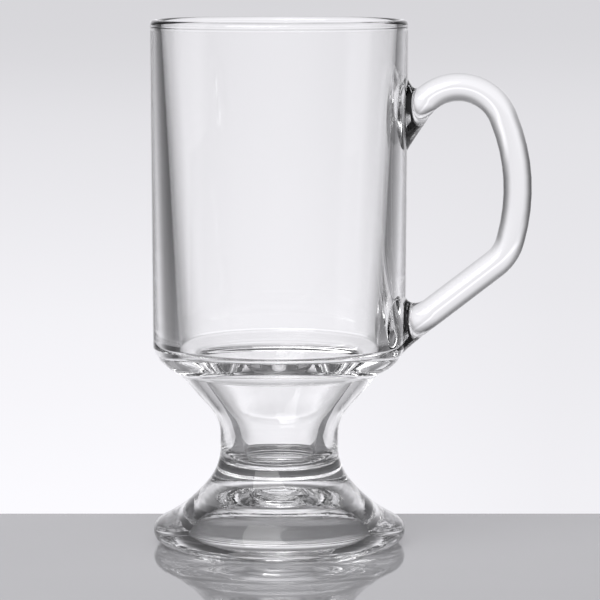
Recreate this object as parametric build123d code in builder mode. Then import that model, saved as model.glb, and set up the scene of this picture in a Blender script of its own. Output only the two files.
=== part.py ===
"""Irish coffee glass mug: a pressed bowl with a drawn stem, a cast foot and a welded ear handle.

Millimetres. The origin is on the bowl's axis, on the surface that the foot stands on. +Z is up and +X
points from the axis to the handle.
"""

import os
from math import cos, radians, sin

from build123d import *

os.makedirs("parts", exist_ok=True)

# Bowl: rim and wall
mug_height = 149.0
rim_diameter = 73.0
rim_wall = 3.1
wall_diameter = 71.7
wall_base = 6.9

# Bowl: shoulder, the crease under it and the cone, with slopes in degrees from the axis
shoulder_round = 8.4
underside_slope = 62.4
underside_length = 3.1
crease_round = 2.0
cone_slope = 41.5

# Bowl: stem
neck_round = 11.3
waist_diameter = 33.6
waist_length = 3.9
flare_round = 15.0
flare_slope = 38.0

# Bowl: the floor and the funnel that leads down to the well in the stem, with drops from the shoulder's top
floor_drop = 2.4
floor_round = 0.8
mouth_diameter = 43.0
mouth_drop = 6.1
mouth_round = 4.0
throat_diameter = 23.6
throat_drop = 20.6
throat_round = 34.0
well_floor_diameter = 20.0
well_floor_round = 4.0
well_floor_glass = 4.6

# Foot
foot_height = 18.2
foot_diameter = 71.7
foot_edge_round = 3.7
foot_top_slope = 26.0
hollow_diameter = 52.0
hollow_depth = 14.2

# Handle: points of the rod's centre line, as reach out from the wall, and rise from the shoulder's top or
# drop from the lip
lower_neck_reach = 7.5
lower_neck_rise = 8.6
diagonal_reach = 25.1
diagonal_rise = 22.1
grip_low_reach = 29.8
grip_low_rise = 29.4
grip_high_reach = 27.7
grip_high_drop = 28.0
upper_neck_reach = 6.0
upper_neck_drop = 22.2

# Handle: the rod's oval, thickness in the plane of the ear and width across it
rod_thickness = 8.1
rod_width = 10.5

# Handle: the ovals that the welds spread to, just inside the wall
weld_depth = 1.6
weld_width = 16.0
lower_weld_rise = 4.8
lower_weld_length = 18.3
upper_weld_drop = 27.3
upper_weld_length = 23.7
halfway_spread = 0.35

rim_radius = rim_diameter / 2
wall_radius = wall_diameter / 2
waist_radius = waist_diameter / 2
foot_radius = foot_diameter / 2
lip_radius = rim_wall / 2

underside_turn = radians(underside_slope)
cone_turn = radians(cone_slope)
flare_turn = radians(flare_slope)

# The seam is where the stem's flare ends on top of the foot
seam_radius = waist_radius + flare_round * (1 - cos(flare_turn))
seam = (seam_radius, foot_height)

# What the rounds and the underside leave between the stem and the wall is the straight cone
neck_width = neck_round * (1 - cos(cone_turn))
crease_width = crease_round * (cos(cone_turn) - cos(underside_turn))
underside_width = underside_length * sin(underside_turn)
shoulder_width = shoulder_round * (1 - cos(underside_turn))
cone_width = wall_radius - waist_radius - neck_width - crease_width - underside_width - shoulder_width
rim_outer = (rim_radius, mug_height - lip_radius)

# Outside of the bowl, from the seam up to the lip
with BuildLine() as bowl_outside:
    flare = JernArc(seam, (-sin(flare_turn), cos(flare_turn)), flare_round, -flare_slope)
    waist = Line(flare @ 1, flare @ 1 + (0, waist_length))
    neck = JernArc(waist @ 1, waist % 1, neck_round, -cone_slope)
    cone = PolarLine(neck @ 1, cone_width / sin(cone_turn), direction=neck % 1)
    crease = JernArc(cone @ 1, cone % 1, crease_round, cone_slope - underside_slope)
    underside = PolarLine(crease @ 1, underside_length, direction=crease % 1)
    shoulder = JernArc(underside @ 1, underside % 1, shoulder_round, underside_slope)
    Line(shoulder @ 1, rim_outer)

# Inside of the bowl: the tapered wall, the sloping floor, the funnel and the well in the stem
shoulder_top = (shoulder @ 1).Y
well_floor = foot_height + well_floor_glass
rim_inner = (rim_radius - rim_wall, mug_height - lip_radius)

with BuildLine() as bowl_inside:
    FilletPolyline(
        rim_inner,
        (wall_radius - wall_base, shoulder_top - floor_drop),
        (mouth_diameter / 2, shoulder_top - mouth_drop),
        (throat_diameter / 2, shoulder_top - throat_drop),
        (well_floor_diameter / 2, well_floor),
        (0, well_floor),
        radius=[floor_round, mouth_round, throat_round, well_floor_round],
    )

# The bowl's outer form, filled, which the handle's welds are cut to
with BuildPart() as bowl_form:
    with BuildSketch(Plane.XZ):
        with BuildLine():
            add(bowl_outside.line)
            Polyline(rim_outer, (0, mug_height - lip_radius), (0, foot_height), seam)
        make_face()
    revolve(axis=Axis.Z)

with BuildPart() as bowl:
    with BuildSketch(Plane.XZ):
        with BuildLine():
            add(bowl_outside.line)
            ThreePointArc(rim_outer, (rim_radius - lip_radius, mug_height), rim_inner)
            add(bowl_inside.line)
            Polyline((0, well_floor), (0, foot_height), seam)
        make_face()
    revolve(axis=Axis.Z)
bowl.part.label = "bowl"
export_step(bowl.part, "parts/bowl.step")

# Foot: hollow underside, flat resting ring, rounded edge and a concave top that rises to the seam
edge_center = (foot_radius - foot_edge_round, foot_edge_round)
edge_sweep = 180 - foot_top_slope
top_turn = radians(foot_top_slope)

with BuildPart() as foot:
    with BuildSketch(Plane.XZ):
        with BuildLine():
            hollow = TangentArc((0, hollow_depth), (hollow_diameter / 2, 0), tangent=(1, 0))
            Line(hollow @ 1, (foot_radius - foot_edge_round, 0))
            edge = CenterArc(edge_center, foot_edge_round, -90, edge_sweep)
            TangentArc(edge @ 1, seam, tangent=(-cos(top_turn), sin(top_turn)))
            Polyline(seam, (0, foot_height), (0, hollow_depth))
        make_face()
    revolve(axis=Axis.Z)
foot.part.label = "foot"
export_step(foot.part, "parts/foot.step")

# Centre line of the rod, from the lower weld up the diagonal, round the knee, the grip and the arch
with BuildLine() as rod_line:
    diagonal = Line(
        (wall_radius + lower_neck_reach, shoulder_top + lower_neck_rise),
        (wall_radius + diagonal_reach, shoulder_top + diagonal_rise),
    )
    knee = TangentArc(
        diagonal @ 1,
        (wall_radius + grip_low_reach, shoulder_top + grip_low_rise),
        tangent=diagonal % 1,
    )
    grip = TangentArc(
        knee @ 1,
        (wall_radius + grip_high_reach, mug_height - grip_high_drop),
        tangent=knee % 1,
    )
    arch = TangentArc(
        grip @ 1,
        (wall_radius + upper_neck_reach, mug_height - upper_neck_drop),
        tangent=grip % 1,
    )

# Each weld: where the rod ends and which way it points out of the wall, then the weld's height and length
weld_radius = wall_radius - weld_depth
welds = [
    (diagonal @ 0, diagonal % 0, shoulder_top + lower_weld_rise, lower_weld_length),
    (arch @ 1, -(arch % 1), mug_height - upper_weld_drop, upper_weld_length),
]


def oval_plane(spot, heading):
    """The plane across the rod at a point of its centre line, square to its heading there."""
    return Plane(
        origin=Plane.XZ.from_local_coords(spot),
        x_dir=Plane.XZ.from_local_coords(Vector(-heading.Y, heading.X)),
        z_dir=Plane.XZ.from_local_coords(heading),
    )


# Handle: an oval rod swept along its line, and at each end a weld that spreads to the wall and is cut to it
with BuildPart() as handle:
    with BuildSketch(oval_plane(diagonal @ 0, diagonal % 0)):
        Ellipse(rod_thickness / 2, rod_width / 2)
    sweep(path=Plane.XZ.from_local_coords(rod_line.wire()))
    for neck_spot, neck_heading, weld_height, weld_length in welds:
        weld_spot = Vector(weld_radius, weld_height)
        weld_heading = Vector(1, 0)
        with BuildSketch(oval_plane(neck_spot, neck_heading)):
            Ellipse(rod_thickness / 2, rod_width / 2)
        with BuildSketch(oval_plane((neck_spot + weld_spot) / 2, (neck_heading + weld_heading) / 2)):
            Ellipse(
                (rod_thickness + halfway_spread * (weld_length - rod_thickness)) / 2,
                (rod_width + halfway_spread * (weld_width - rod_width)) / 2,
            )
        with BuildSketch(oval_plane(weld_spot, weld_heading)):
            Ellipse(weld_length / 2, weld_width / 2)
        loft()
    add(bowl_form.part, mode=Mode.SUBTRACT)
handle.part.label = "handle"
export_step(handle.part, "parts/handle.step")
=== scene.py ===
"""Irish coffee glass mug, dressed for the photograph: a clear pressed glass bowl with a drawn stem, a round
foot and a welded ear handle, on a glossy grey sheet in front of a white studio backdrop.

Lengths in the named values below are millimetres, and angles are degrees. Profiles are (radius, height) points,
and the handle's lines are (x, height) points in the plane y = 0.
"""

import bmesh
import bpy
import numpy as np
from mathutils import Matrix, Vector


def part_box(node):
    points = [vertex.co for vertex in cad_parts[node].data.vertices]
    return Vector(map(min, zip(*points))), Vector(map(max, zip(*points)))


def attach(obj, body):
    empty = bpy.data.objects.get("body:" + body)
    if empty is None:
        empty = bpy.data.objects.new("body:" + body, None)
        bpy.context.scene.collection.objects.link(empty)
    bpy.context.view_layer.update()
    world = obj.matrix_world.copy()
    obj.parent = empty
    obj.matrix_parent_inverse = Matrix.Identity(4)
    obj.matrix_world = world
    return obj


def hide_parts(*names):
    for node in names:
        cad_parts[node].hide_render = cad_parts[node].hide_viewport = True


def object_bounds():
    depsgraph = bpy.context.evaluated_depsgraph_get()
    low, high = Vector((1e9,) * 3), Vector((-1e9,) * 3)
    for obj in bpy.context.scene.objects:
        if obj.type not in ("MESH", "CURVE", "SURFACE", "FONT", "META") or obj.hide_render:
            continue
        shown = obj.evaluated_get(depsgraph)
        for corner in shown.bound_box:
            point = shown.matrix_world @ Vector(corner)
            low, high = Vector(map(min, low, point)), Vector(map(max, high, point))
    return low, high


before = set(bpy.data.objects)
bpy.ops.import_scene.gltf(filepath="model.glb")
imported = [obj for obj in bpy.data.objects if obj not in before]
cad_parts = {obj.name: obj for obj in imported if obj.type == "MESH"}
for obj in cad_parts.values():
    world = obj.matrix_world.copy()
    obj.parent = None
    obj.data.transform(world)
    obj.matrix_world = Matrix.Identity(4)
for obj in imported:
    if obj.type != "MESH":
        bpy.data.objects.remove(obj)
cad_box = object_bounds()

MM = 0.001

# Sizes that the CAD part gives
MUG_HEIGHT = cad_box[1].z / MM
RIM_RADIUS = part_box("bowl")[1].y / MM
FOOT_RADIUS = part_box("foot")[1].y / MM
SEAM_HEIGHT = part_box("foot")[1].z / MM

# Bowl outside: corners of the profile from the seam up to the wall, and the rounds on them
SEAM_RADIUS = 19.98
WAIST_RADIUS = 16.8
WALL_RADIUS = 35.85
OUTSIDE_CORNERS = [
    (WAIST_RADIUS, 22.27),
    (WAIST_RADIUS, 35.58),
    (28.28, 48.56),
    (34.26, 51.69),
    (WALL_RADIUS, 56.3),
]
OUTSIDE_ROUNDS = [15.0, 11.3, 2.0, 12.0, 0.3]

# Lip: half the width and height of its oval bead, and how far the bead wraps below its own middle
LIP_OVAL = np.array([1.6, 1.4])
LIP_WRAP = 20.0

# Bowl inside: corners from the wall down to the well in the stem, and the rounds on them
WELL_FLOOR = 22.8
INSIDE_CORNERS = [(28.6, 56.1), (24.0, 54.1), (11.7, 36.4), (10.0, WELL_FLOOR)]
INSIDE_ROUNDS = [1.2, 4.4, 20.0, 4.0]

# Foot
HOLLOW_RADIUS = 26.0
HOLLOW_DEPTH = 14.2
FOOT_EDGE = 3.7
FOOT_TOP_SLOPE = 26.0

# Handle: the rod's centre line and its oval
LOWER_NECK = (43.35, 66.2)
DIAGONAL_END = (60.95, 79.7)
GRIP_LOW = (65.65, 87.0)
GRIP_HIGH = (63.55, 121.0)
UPPER_NECK = (41.85, 126.8)
ROD_THICKNESS = 8.1
ROD_WIDTH = 10.5

# Handle: the welds' ovals on the wall, and how the glass spreads as it reaches them
WELD_WIDTH = 15.6
LOWER_WELD = (53.4, 70.2)
UPPER_WELD = (111.9, 132.4)
WELD_SPREAD = 62.0
NECK_PULL = 5.0
WELD_PULL = 7.0

# Grids: how finely the surfaces are worked out, what counts as one point and what stays a sharp edge
AROUND = 384
RUN_STEP = 1.25
PLAIN_STEP = 6.0
ARC_STEP = 5.0
BLOCK_ROWS = 28
BLOCK_COLUMNS = 58
COLLAR_RINGS = 10
CAP_RINGS = 8
SPREAD_RINGS = 16
MERGE_GAP = 0.002
SHARP_ANGLE = 22.0

# Glass
GLASS_TINT = (0.99, 0.99, 0.99, 1)
GLASS_IOR = 1.52

# Glass relief: rings about the axis that fade out above the foot, and waves, in ripples per metre
RING_SCALE = 420.0
RING_DETAIL = 2.0
RING_DEPTH = 0.09
RING_TOP = 17.0
RING_FADE = 22.0
WAVE_SCALE = 55.0
WAVE_DETAIL = 1.0
WAVE_DEPTH = 0.004

# Table: a glossy sheet whose far edge is just behind the foot, with clouds between two greys
TABLE_BACK = 49.0
TABLE_REACH = 600.0
TABLE_THICKNESS = 8.0
TABLE_GAP = 0.02
TABLE_DARK = (0.38, 0.38, 0.39, 1)
TABLE_PALE = (0.44, 0.44, 0.45, 1)
TABLE_CLOUDS = 9.0
TABLE_ROUGHNESS = 0.01
TABLE_IOR = 1.65

# Studio tones by elevation, as (degrees, grey): the backdrop that the camera sees, then what the glass sees
# behind the mug, in front of it, at the sides and in a panel at the left
BACKDROP = [
    (-90, 0.97), (-12, 0.99), (-9.2, 0.985), (-7.7, 0.945), (-6.3, 0.91), (-4.8, 0.85), (-3.3, 0.79),
    (-2, 0.70), (6, 0.58),
]
BEHIND = [
    (-90, 0.6), (-30, 0.92), (-16, 0.97), (-9.5, 0.97), (-5, 0.87), (-1.5, 0.85), (1, 1.15), (4, 0.9),
    (12, 0.77), (21, 0.38), (32, 0.2), (45, 0.2), (60, 0.25), (90, 0.4),
]
IN_FRONT = [
    (-90, 0.46), (-20, 0.52), (-8, 0.6), (0, 0.8), (8, 0.9), (20, 1.0), (32, 1.05), (45, 1.0), (60, 1.0),
    (90, 1.0),
]
SIDES = [(-90, 0.5), (-30, 0.72), (-19, 0.5), (-11, 0.1), (-8, 0.07), (90, 0.05)]
PANEL = [(-24, 0), (-13, 0.6), (4, 0.6), (12, 0)]

# How much of each tone there is, by side, as (degrees, share), or by bearing for BEHIND_HALF and FRONT_WIDTH
BEHIND_WIDTH = [
    (-90, 0), (-46, 0), (-34, 0.08), (-28, 0.25), (-23, 0.5), (-18, 0.8), (-12, 1), (16, 1), (21, 0.8),
    (26, 0.5), (32, 0.28), (40, 0.14), (54, 0.05), (70, 0),
]
BEHIND_HALF = [(0, 1), (85, 1), (90, 0)]
FRONT_WIDTH = [(65, 0), (85, 0.3), (105, 0.5), (130, 0.7), (160, 1)]
PANEL_WIDTH = [(-90, 1), (-77, 1), (-70, 0), (90, 0)]

# The backdrop darkens a little low down at the right, and all the studio's light has a slight tint
FALL_OFF = [(-12, 0.1), (-6, 0.08), (-2.5, 0.0)]
FALL_OFF_WIDTH = [(-90, 0), (-1, 0), (4, 1), (90, 1)]
TINT = (0.99, 0.982, 1.02, 1)

# Softbox, high in front and to the left, with its power in watts
SOFTBOX_SIZE = 620.0
SOFTBOX_POWER = 3.4
SOFTBOX_PLACE = np.array([-240.0, -510.0, 620.0])
SOFTBOX_TILT = 45.0
SOFTBOX_TURN = -25.0

# Camera at the photograph's angle: the pinhole camera that fits the rim and the foot
CAMERA_DISTANCE = 1030.0
CAMERA_HEIGHT = 177.9
CAMERA_ASIDE = 5.9
CAMERA_PITCH = 6.009
FOCAL_PIXELS = 3645.0
FRAME_PIXELS = 600.0
SENSOR_WIDTH = 36.0
NEAREST = 10.0

# How often light may pass or bounce in the glass, on gloss and through the fused joints
GLASS_BOUNCES = 24
GLOSS_BOUNCES = 12
JOINT_BOUNCES = 32


# Curves

def run(start, end, step=RUN_STEP):
    """Straight run from start to end, in even steps of about step."""
    start, end = np.asarray(start, float), np.asarray(end, float)
    steps = max(int(np.ceil(np.linalg.norm(end - start) / step)), 1)
    return start + (end - start) * np.linspace(0, 1, steps + 1)[:, None]


def arc(centre, radius, first, last):
    """Arc round centre between two bearings: centre + radius (cos, sin), in even turns of about ARC_STEP."""
    steps = max(int(np.ceil(abs(last - first) / ARC_STEP)), 2)
    turn = np.radians(np.linspace(first, last, steps + 1))
    return np.asarray(centre, float) + radius * np.column_stack([np.cos(turn), np.sin(turn)])


def tangent_arc(start, heading, end):
    """Arc that leaves start along heading and reaches end: its centre is square to heading, as far as both
    ends need."""
    start, heading, end = (np.asarray(v, float) for v in (start, heading, end))
    square = np.array([-heading[1], heading[0]]) / np.linalg.norm(heading)
    chord = end - start
    radius = chord @ chord / (2 * chord @ square)
    centre = start + radius * square
    first, last = (np.degrees(np.arctan2(*(p - centre)[::-1])) for p in (start, end))
    last = first + np.sign(radius) * ((last - first) * np.sign(radius) % 360)
    return arc(centre, abs(radius), first, last)


def joined(*curves):
    """One curve from several that follow on, with each shared point kept once."""
    return np.concatenate([curves[0]] + [c[1:] for c in curves[1:]])


def rounded(points, rounds, step=RUN_STEP):
    """Run through points with its corners rounded: each arc touches the two straights beside its corner."""
    points = [np.asarray(p, float) for p in points]
    curves, reached = [], points[0]
    for before, corner, after, radius in zip(points, points[1:], points[2:], rounds):
        back = (before - corner) / np.linalg.norm(before - corner)
        ahead = (after - corner) / np.linalg.norm(after - corner)
        half = np.arccos(np.clip(back @ ahead, -1, 1)) / 2
        touch = radius / np.tan(half)
        curves.append(run(reached, corner + touch * back, step))
        curves.append(tangent_arc(corner + touch * back, -back, corner + touch * ahead))
        reached = corner + touch * ahead
    return joined(*curves, run(reached, points[-1], step))


def headings(line):
    """Unit headings along a line of points, from the points on each side."""
    slope = np.gradient(line, axis=0)
    return slope / np.linalg.norm(slope, axis=1)[:, None]


# Grids

def grid_faces(rows, columns):
    """Quads of a grid whose columns close into a ring."""
    here = np.arange(rows - 1)[:, None] * columns + np.arange(columns)
    beside = np.arange(rows - 1)[:, None] * columns + (np.arange(columns) + 1) % columns
    return np.stack([here, beside, beside + columns, here + columns], axis=-1)


def ring_patch(grid, material):
    """Patch with all the faces of a grid whose columns close into a ring."""
    return grid, grid_faces(*grid.shape[:2]), material


def turned(profile, bearings):
    """Surface of revolution: every profile point (radius, height) at every bearing about the z axis."""
    radius, height = profile[:, :1], profile[:, 1:]
    return np.stack([radius * np.cos(bearings), radius * np.sin(bearings), height + 0 * bearings], axis=-1)


# Materials

def set_inputs(tree, node, inputs):
    """Links a node's inputs to sockets, or sets them to plain values."""
    for name, value in inputs.items():
        if isinstance(value, bpy.types.NodeSocket):
            tree.links.new(value, node.inputs[name])
        else:
            node.inputs[name].default_value = value


def add_node(tree, kind, inputs, **settings):
    """Node of that kind with its settings and its inputs."""
    node = tree.nodes.new(kind)
    for name, value in settings.items():
        setattr(node, name, value)
    set_inputs(tree, node, inputs)
    return node


def object_place(tree):
    """Places on the piece itself, in metres."""
    return add_node(tree, "ShaderNodeTexCoord", {}).outputs["Object"]


def new_material(name):
    """Node material with a Principled shader on its output."""
    material = bpy.data.materials.new(name)
    material.use_nodes = True
    return material, material.node_tree, material.node_tree.nodes["Principled BSDF"]


def pressed_relief(tree):
    """Bump of pressed glass: ring noise over the distance from the axis, times a depth that fades out with
    height, plus wave noise over the place times its own depth."""
    place = object_place(tree)
    split = add_node(tree, "ShaderNodeSeparateXYZ", {0: place})
    flat = add_node(tree, "ShaderNodeCombineXYZ", {"X": split.outputs["X"], "Y": split.outputs["Y"]})
    radius = add_node(tree, "ShaderNodeVectorMath", {0: flat.outputs[0]}, operation="LENGTH")
    rings = add_node(tree, "ShaderNodeTexNoise", {
        "Scale": RING_SCALE,
        "Detail": RING_DETAIL,
        "W": radius.outputs["Value"],
    }, noise_dimensions="1D")
    ring_height = add_node(tree, "ShaderNodeMapRange", {
        "From Min": RING_TOP * MM,
        "From Max": RING_FADE * MM,
        "To Min": RING_DEPTH,
        "To Max": 0.0,
        "Value": split.outputs["Z"],
    })
    waves = add_node(tree, "ShaderNodeTexNoise", {
        "Scale": WAVE_SCALE,
        "Detail": WAVE_DETAIL,
        "Vector": place,
    })
    wave_height = add_node(tree, "ShaderNodeMath", {
        0: waves.outputs["Fac"],
        1: WAVE_DEPTH,
    }, operation="MULTIPLY")
    relief = add_node(tree, "ShaderNodeMath", {
        0: rings.outputs["Fac"],
        1: ring_height.outputs["Result"],
        2: wave_height.outputs[0],
    }, operation="MULTIPLY_ADD")
    bump = add_node(tree, "ShaderNodeBump", {"Strength": 1.0, "Distance": MM, "Height": relief.outputs[0]})
    return bump.outputs["Normal"]


def make_clear_glass():
    """Clear fire-polished glass with the relief of pressing."""
    material, tree, shader = new_material("clear_glass")
    set_inputs(tree, shader, {
        "Base Color": GLASS_TINT,
        "Roughness": 0.0,
        "IOR": GLASS_IOR,
        "Transmission Weight": 1.0,
        "Normal": pressed_relief(tree),
    })
    return material


def make_fused_joint():
    """Where two pieces are fused, so that nothing is seen of the faces that meet."""
    material, tree, shader = new_material("fused_joint")
    set_inputs(tree, shader, {"Alpha": 0.0})
    return material


def make_table_gloss():
    """Glossy grey sheet with faint clouds."""
    material, tree, shader = new_material("table_gloss")
    clouds = add_node(tree, "ShaderNodeTexNoise", {"Scale": TABLE_CLOUDS, "Vector": object_place(tree)})
    tone = add_node(tree, "ShaderNodeMix", {
        "A": TABLE_DARK,
        "B": TABLE_PALE,
        "Factor": clouds.outputs["Fac"],
    }, data_type="RGBA")
    set_inputs(tree, shader, {
        "Base Color": tone.outputs["Result"],
        "Roughness": TABLE_ROUGHNESS,
        "IOR": TABLE_IOR,
    })
    return material


clear_glass = make_clear_glass()
fused_joint = make_fused_joint()
GLASS, JOINT = 0, 1


def glass_piece(name, patches, node):
    """Closed mesh from patches of (points, faces, material number), merged where they meet, with its outside
    facing out."""
    starts = np.cumsum([0] + [p.reshape(-1, 3).shape[0] for p, _, _ in patches])
    points = np.concatenate([p.reshape(-1, 3) for p, _, _ in patches]) * MM
    faces = np.concatenate([f.reshape(-1, 4) + s for (_, f, _), s in zip(patches, starts)])
    numbers = np.concatenate([np.full(f.reshape(-1, 4).shape[0], n) for _, f, n in patches])
    mesh = bpy.data.meshes.new(name)
    mesh.from_pydata(points, [], faces)
    mesh.polygons.foreach_set("material_index", numbers.astype(np.int32))
    mesh.materials.append(clear_glass)
    mesh.materials.append(fused_joint)
    form = bmesh.new()
    form.from_mesh(mesh)
    bmesh.ops.remove_doubles(form, verts=form.verts, dist=MERGE_GAP * MM)
    bmesh.ops.recalc_face_normals(form, faces=form.faces)
    form.to_mesh(mesh)
    form.free()
    mesh.shade_smooth()
    mesh.set_sharp_from_angle(angle=np.radians(SHARP_ANGLE))
    piece = bpy.data.objects.new(name, mesh)
    bpy.context.scene.collection.objects.link(piece)
    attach(piece, "root")
    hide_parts(node)


# Bowl: profile from the seam up the outside, over the lip and down the inside to the well
bearings = -np.pi + 2 * np.pi * np.arange(AROUND) / AROUND
seam = (SEAM_RADIUS, SEAM_HEIGHT)
lip = (RIM_RADIUS, MUG_HEIGHT) - LIP_OVAL + LIP_OVAL * arc((0, 0), 1, -LIP_WRAP, 180 + LIP_WRAP)
outside = rounded([seam, *OUTSIDE_CORNERS, lip[0]], OUTSIDE_ROUNDS)
inside = rounded([lip[-1], *INSIDE_CORNERS, (0, WELL_FLOOR)], INSIDE_ROUNDS, PLAIN_STEP)
along = np.concatenate([[0], np.cumsum(np.linalg.norm(np.diff(outside, axis=0), axis=1))])


def on_wall(across, up):
    """Point of the bowl's outside: across is the arc round the wall from the handle's plane, up the length
    along the profile."""
    radius = np.interp(up, along, outside[:, 0])
    height = np.interp(up, along, outside[:, 1])
    bearing = across / WALL_RADIUS
    return np.stack([radius * np.cos(bearing), radius * np.sin(bearing), height], axis=-1)


def weld_patch(heights, flip):
    """Rings on the wall from a block of its grid in to a weld's oval, and on to the oval's middle.

    Each ring point keeps its place between the block's edge and the oval on the same bearing. flip counts the
    block's rows from the top, so that both welds start from the side that faces the other one.
    """
    low, high = np.interp(heights, outside[:, 1], along)
    middle, half_length = (low + high) / 2, (high - low) / 2
    row = int(np.argmin(abs(along - middle)))
    rows = row + np.arange(-BLOCK_ROWS // 2, BLOCK_ROWS // 2 + 1)
    columns = AROUND // 2 + np.arange(-BLOCK_COLUMNS // 2, BLOCK_COLUMNS // 2 + 1)
    side = rows[::-1] if flip else rows
    near, far = np.full(BLOCK_COLUMNS, side[0]), np.full(BLOCK_COLUMNS, side[-1])
    first, last = np.full(BLOCK_ROWS, columns[0]), np.full(BLOCK_ROWS, columns[-1])
    edge_rows = np.concatenate([near, side[1:], far, side[::-1][1:]])
    edge_columns = np.concatenate([columns[1:], last, columns[::-1][1:], first])
    across, up = bearings[edge_columns] * WALL_RADIUS, along[edge_rows]
    sign = -1 if flip else 1
    bearing = np.unwrap(np.arctan2(sign * (up - middle) / half_length, across / (WELD_WIDTH / 2)))
    oval_across = WELD_WIDTH / 2 * np.cos(bearing)
    oval_up = middle + sign * half_length * np.sin(bearing)
    inward = np.linspace(0, 1, COLLAR_RINGS + 1)[:, None]
    collar = on_wall(across + inward * (oval_across - across), up + inward * (oval_up - up))
    shrink = np.linspace(1, 0, CAP_RINGS + 1)[:, None]
    cap = on_wall(shrink * oval_across, middle + shrink * (oval_up - middle))
    return rows, columns, collar, cap, bearing


lower_rows, lower_columns, lower_collar, lower_cap, lower_turn = weld_patch(LOWER_WELD, False)
upper_rows, upper_columns, upper_collar, upper_cap, upper_turn = weld_patch(UPPER_WELD, True)

wall_grid = turned(outside, bearings)
wall_faces = grid_faces(len(outside), AROUND)
kept = np.ones(wall_faces.shape[:2], bool)
for rows, columns in ((lower_rows, lower_columns), (upper_rows, upper_columns)):
    kept[rows[0]:rows[-1], columns[0]:columns[-1]] = False
inner_grid = turned(joined(lip, inside), bearings)
under_grid = turned(run(seam, (0, SEAM_HEIGHT), PLAIN_STEP), bearings)
glass_piece("glass_bowl", [
    (wall_grid, wall_faces[kept], GLASS),
    ring_patch(inner_grid, GLASS),
    ring_patch(under_grid, JOINT),
    ring_patch(lower_collar, GLASS),
    ring_patch(lower_cap, JOINT),
    ring_patch(upper_collar, GLASS),
    ring_patch(upper_cap, JOINT),
], "bowl")

# Foot: hollow, resting ring, rounded edge and concave top up to the seam
hollow = tangent_arc((0, HOLLOW_DEPTH), (1, 0), (HOLLOW_RADIUS, 0))
ring_out = (FOOT_RADIUS - FOOT_EDGE, 0)
edge = arc((FOOT_RADIUS - FOOT_EDGE, FOOT_EDGE), FOOT_EDGE, -90, 90 - FOOT_TOP_SLOPE)
slope = np.radians(FOOT_TOP_SLOPE)
top = tangent_arc(edge[-1], (-np.cos(slope), np.sin(slope)), seam)
foot_profile = joined(hollow, run(hollow[-1], ring_out), edge, top)
glass_piece("glass_foot", [
    ring_patch(turned(foot_profile, bearings), GLASS),
    ring_patch(under_grid, JOINT),
], "foot")

# Handle: an oval carried along the rod's line, and at each end a spread down to the weld's oval on the wall
diagonal = run(LOWER_NECK, DIAGONAL_END)
knee = tangent_arc(diagonal[-1], diagonal[-1] - diagonal[0], GRIP_LOW)
grip = tangent_arc(knee[-1], headings(knee)[-1], GRIP_HIGH)
arch = tangent_arc(grip[-1], headings(grip)[-1], UPPER_NECK)
rod_line = joined(diagonal, knee, grip, arch)
ahead = headings(rod_line)
share = np.linspace(0, 1, len(rod_line))[:, None]
turn = (1 - share) * lower_turn + share * upper_turn
thick = ROD_THICKNESS / 2 * np.sin(turn)
wide = ROD_WIDTH / 2 * np.cos(turn)
rod = np.stack([
    rod_line[:, :1] - ahead[:, 1:] * thick,
    wide,
    rod_line[:, 1:] + ahead[:, :1] * thick,
], axis=-1)


def spread(neck_ring, neck_heading, weld_ring):
    """Glass between the rod's end and its weld: on each line a cubic that leaves the rod along its heading and
    reaches the wall at WELD_SPREAD from square to it, leaning away from the weld's middle."""
    middle = weld_ring.mean(axis=0)
    bearing = np.arctan2(weld_ring[:, 1], weld_ring[:, 0])
    into_wall = -np.stack([np.cos(bearing), np.sin(bearing), 0 * bearing], axis=-1)
    away = weld_ring - middle
    away -= into_wall * np.sum(away * into_wall, axis=1)[:, None]
    away /= np.linalg.norm(away, axis=1)[:, None]
    lean = np.radians(WELD_SPREAD)
    leave = NECK_PULL * np.array([neck_heading[0], 0, neck_heading[1]])
    reach = WELD_PULL * (np.cos(lean) * into_wall + np.sin(lean) * away)
    t = np.linspace(0, 1, SPREAD_RINGS + 1)[:, None, None]
    return ((2 * t**3 - 3 * t**2 + 1) * neck_ring + (t**3 - 2 * t**2 + t) * leave
            + (3 * t**2 - 2 * t**3) * weld_ring + (t**3 - t**2) * reach)


lower_spread = spread(rod[0], -ahead[0], lower_cap[0])
upper_spread = spread(rod[-1], ahead[-1], upper_cap[0])
ear = np.concatenate([lower_spread[::-1], rod[1:-1], upper_spread])
glass_piece("glass_handle", [
    ring_patch(ear, GLASS),
    ring_patch(lower_cap, JOINT),
    ring_patch(upper_cap, JOINT),
], "handle")

# Table: a flat box
table_mesh = bpy.data.meshes.new("table")
heights, depths, widths = np.meshgrid(
    [-TABLE_THICKNESS, -TABLE_GAP],
    [-TABLE_REACH, TABLE_BACK],
    [-TABLE_REACH, TABLE_REACH],
    indexing="ij",
)
corners = np.stack([widths, depths, heights], axis=-1).reshape(-1, 3) * MM
sides = [(0, 2, 3, 1), (4, 5, 7, 6), (0, 1, 5, 4), (2, 6, 7, 3), (0, 4, 6, 2), (1, 3, 7, 5)]
table_mesh.from_pydata(corners, [], sides)
table_mesh.materials.append(make_table_gloss())
table = bpy.data.objects.new("table", table_mesh)
bpy.context.scene.collection.objects.link(table)

# Studio: the world. The camera sees a backdrop that is white low down and fades to grey above. The glass sees
# other tones: a bright strip at the horizon behind the mug, dark sides, a panel and the bright room in front.
world = bpy.data.worlds.new("studio")
bpy.context.scene.world = world
world.use_nodes = True
studio = world.node_tree


def math_node(operation, *values):
    """Result of a math operation on sockets or numbers."""
    return add_node(studio, "ShaderNodeMath", dict(enumerate(values)), operation=operation).outputs[0]


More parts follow.
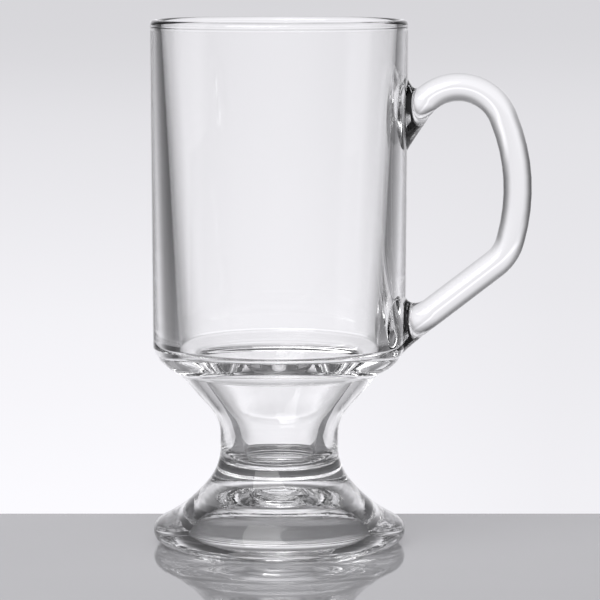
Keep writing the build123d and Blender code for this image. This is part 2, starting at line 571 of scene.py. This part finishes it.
def ramp_node(value, stops):
    """Colour ramp of greys from (position, grey) stops."""
    ramp = add_node(studio, "ShaderNodeValToRGB", {"Fac": value})
    elements = ramp.color_ramp.elements
    while len(elements) < len(stops):
        elements.new(0.5)
    for element, (position, grey) in zip(elements, sorted(stops)):
        element.position = position
        element.color = (grey, grey, grey, 1)
    return ramp.outputs["Color"]


view = add_node(studio, "ShaderNodeTexCoord", {}).outputs["Generated"]
heading = add_node(studio, "ShaderNodeSeparateXYZ", {0: view})
rise = math_node("MULTIPLY_ADD", heading.outputs["Z"], 0.5, 0.5)
bearing = math_node("ARCTAN2", heading.outputs["X"], heading.outputs["Y"])
depth = math_node("MULTIPLY_ADD", math_node("COSINE", bearing), 0.5, 0.5)
side = math_node("MULTIPLY_ADD", math_node("SINE", bearing), 0.5, 0.5)


def by_elevation(stops):
    """Greys by elevation."""
    return ramp_node(rise, [((np.sin(np.radians(e)) + 1) / 2, grey) for e, grey in stops])


def by_bearing(stops):
    """Greys by bearing, the same on both sides: 0 straight behind the mug, 180 behind the camera."""
    return ramp_node(depth, [((np.cos(np.radians(b)) + 1) / 2, grey) for b, grey in stops])


def by_side(stops):
    """Greys by the sine of the bearing: -90 is the left of the room, 0 behind or in front, 90 the right."""
    return ramp_node(side, [((np.sin(np.radians(b)) + 1) / 2, grey) for b, grey in stops])


behind_share = math_node("MULTIPLY", by_side(BEHIND_WIDTH), by_bearing(BEHIND_HALF))
front_share = by_bearing(FRONT_WIDTH)
side_share = math_node("SUBTRACT", math_node("SUBTRACT", 1.0, behind_share), front_share)
room = math_node("MULTIPLY", by_elevation(SIDES), side_share)
room = math_node("MULTIPLY_ADD", by_elevation(BEHIND), behind_share, room)
room = math_node("MULTIPLY_ADD", by_elevation(IN_FRONT), front_share, room)
room = math_node("MULTIPLY_ADD", by_elevation(PANEL), by_side(PANEL_WIDTH), room)
fall_off = math_node("MULTIPLY", by_elevation(FALL_OFF), by_side(FALL_OFF_WIDTH))
backdrop = math_node("MULTIPLY", by_elevation(BACKDROP), math_node("SUBTRACT", 1.0, fall_off))
seen = add_node(studio, "ShaderNodeMix", {
    "Factor": add_node(studio, "ShaderNodeLightPath", {}).outputs["Is Camera Ray"],
    "A": room,
    "B": backdrop,
}, data_type="RGBA")
tinted = add_node(studio, "ShaderNodeMix", {
    "Factor": 1.0,
    "A": seen.outputs["Result"],
    "B": TINT,
}, data_type="RGBA", blend_type="MULTIPLY")
set_inputs(studio, studio.nodes["Background"], {"Color": tinted.outputs["Result"], "Strength": 1.0})

# Softbox
softbox_data = bpy.data.lights.new("softbox", "AREA")
softbox_data.shape = "SQUARE"
softbox_data.size = SOFTBOX_SIZE * MM
softbox_data.energy = SOFTBOX_POWER
softbox = bpy.data.objects.new("softbox", softbox_data)
softbox.location = SOFTBOX_PLACE * MM
softbox.rotation_euler = np.radians([SOFTBOX_TILT, 0, SOFTBOX_TURN])
bpy.context.scene.collection.objects.link(softbox)

# Camera
camera_data = bpy.data.cameras.new("camera")
camera_data.sensor_width = SENSOR_WIDTH
camera_data.lens = SENSOR_WIDTH * FOCAL_PIXELS / FRAME_PIXELS
camera_data.clip_start = NEAREST * MM
camera = bpy.data.objects.new("camera", camera_data)
camera.location = (CAMERA_ASIDE * MM, -CAMERA_DISTANCE * MM, CAMERA_HEIGHT * MM)
camera.rotation_euler = np.radians([90 - CAMERA_PITCH, 0, 0])
bpy.context.scene.collection.objects.link(camera)
bpy.context.scene.camera = camera

scene = bpy.context.scene
scene.view_settings.view_transform = "Standard"
scene.cycles.max_bounces = GLASS_BOUNCES
scene.cycles.transmission_bounces = GLASS_BOUNCES
scene.cycles.glossy_bounces = GLOSS_BOUNCES
scene.cycles.transparent_max_bounces = JOINT_BOUNCES
